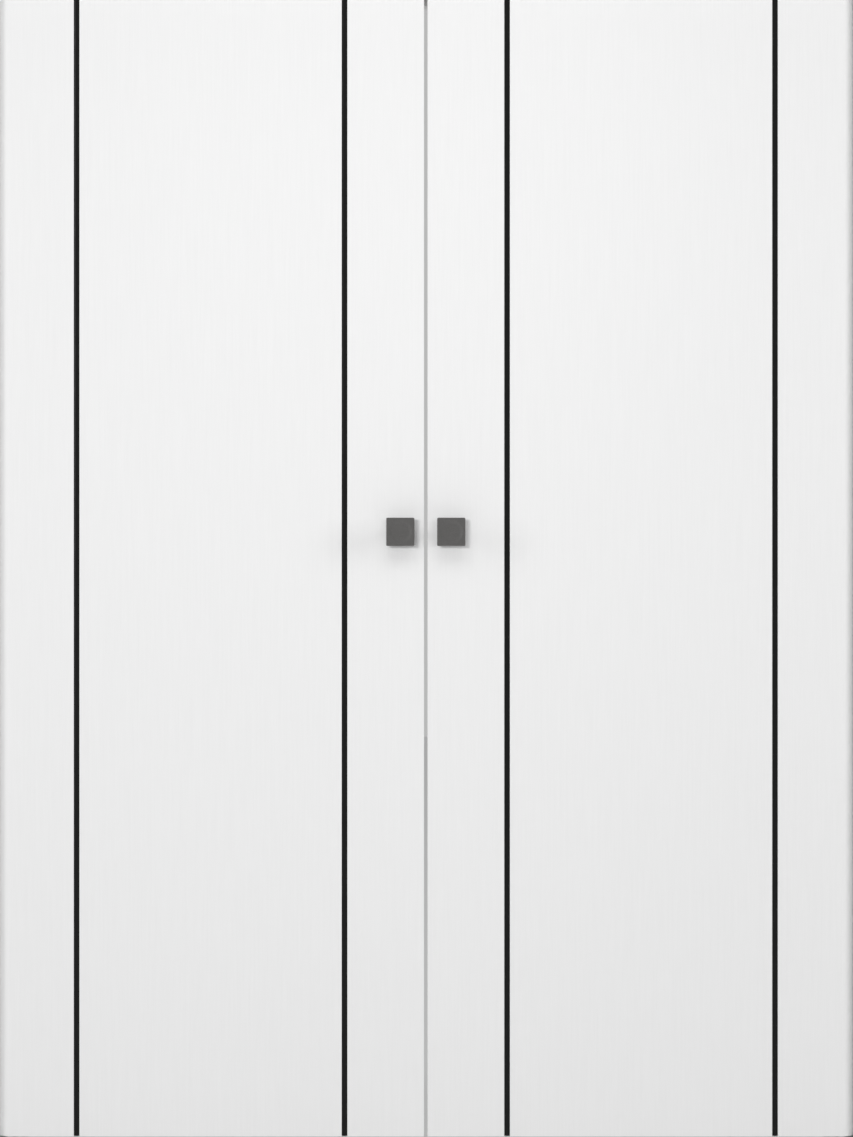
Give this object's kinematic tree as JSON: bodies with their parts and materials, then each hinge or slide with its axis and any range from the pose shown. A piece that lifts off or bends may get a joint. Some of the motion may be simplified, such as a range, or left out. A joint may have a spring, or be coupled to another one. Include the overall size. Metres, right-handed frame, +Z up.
{
  "type": "double interior door",
  "caption": "Pair of white flush interior doors in a cased frame, with inlaid black strips and square pull knobs.",
  "frame": {"origin": "on the outer face of the left jamb, at floor level and in the middle of the jamb's depth", "axes": "+X across the doorway to the right, +Y from the front to the back, +Z up"},
  "size_m": [1.692, 0.178, 2.123],
  "materials": {
    "leaf_film": "white satin film with a fine upright grain",
    "frame_paint": "white satin paint",
    "rail_wood": "planed softwood",
    "core_board": "raw chipboard",
    "black_strip": "satin black",
    "knob_metal": "satin dark grey",
    "pivot_steel": "brushed"
  },
  "bodies": {
    "frame": {"left_jamb": "frame_paint", "right_jamb": "frame_paint", "head_jamb": "frame_paint", "left_stop": "frame_paint", "right_stop": "frame_paint", "head_stop": "frame_paint", "left_front_casing": "frame_paint", "right_front_casing": "frame_paint", "head_front_casing": "frame_paint", "left_back_casing": "frame_paint", "right_back_casing": "frame_paint", "head_back_casing": "frame_paint", "left_floor_pivot": "pivot_steel", "right_floor_pivot": "pivot_steel", "left_head_socket": "pivot_steel", "right_head_socket": "pivot_steel", "catch_strike": "pivot_steel"},
    "left_leaf": {"left_leaf_heel_stile": "leaf_film", "left_leaf_meeting_stile": "leaf_film", "left_leaf_top_rail": "rail_wood", "left_leaf_bottom_rail": "rail_wood", "left_leaf_core": "core_board", "left_leaf_front_skin": "leaf_film", "left_leaf_back_skin": "leaf_film", "left_leaf_front_strips": "black_strip", "left_leaf_back_strips": "black_strip", "left_leaf_front_knob": "knob_metal", "left_leaf_back_knob": "knob_metal", "left_leaf_top_pivot": "pivot_steel", "left_leaf_bottom_pivot": "pivot_steel", "left_leaf_roller_catch": "pivot_steel"},
    "right_leaf": {"right_leaf_heel_stile": "leaf_film", "right_leaf_meeting_stile": "leaf_film", "right_leaf_top_rail": "rail_wood", "right_leaf_bottom_rail": "rail_wood", "right_leaf_core": "core_board", "right_leaf_front_skin": "leaf_film", "right_leaf_back_skin": "leaf_film", "right_leaf_front_strips": "black_strip", "right_leaf_back_strips": "black_strip", "right_leaf_front_knob": "knob_metal", "right_leaf_back_knob": "knob_metal", "right_leaf_top_pivot": "pivot_steel", "right_leaf_bottom_pivot": "pivot_steel", "right_leaf_roller_catch": "pivot_steel"}
  },
  "joints": [
    {"name": "left_leaf_hinge", "type": "hinge", "parent": "frame", "child": "left_leaf", "pos_m": [0.055, -0.038, 0.01], "axis": [0, 0, -1], "range_deg": [0, 95]},
    {"name": "right_leaf_hinge", "type": "hinge", "parent": "frame", "child": "right_leaf", "pos_m": [1.545, -0.038, 0.01], "axis": [0, 0, 1], "range_deg": [0, 95]}
  ]
}
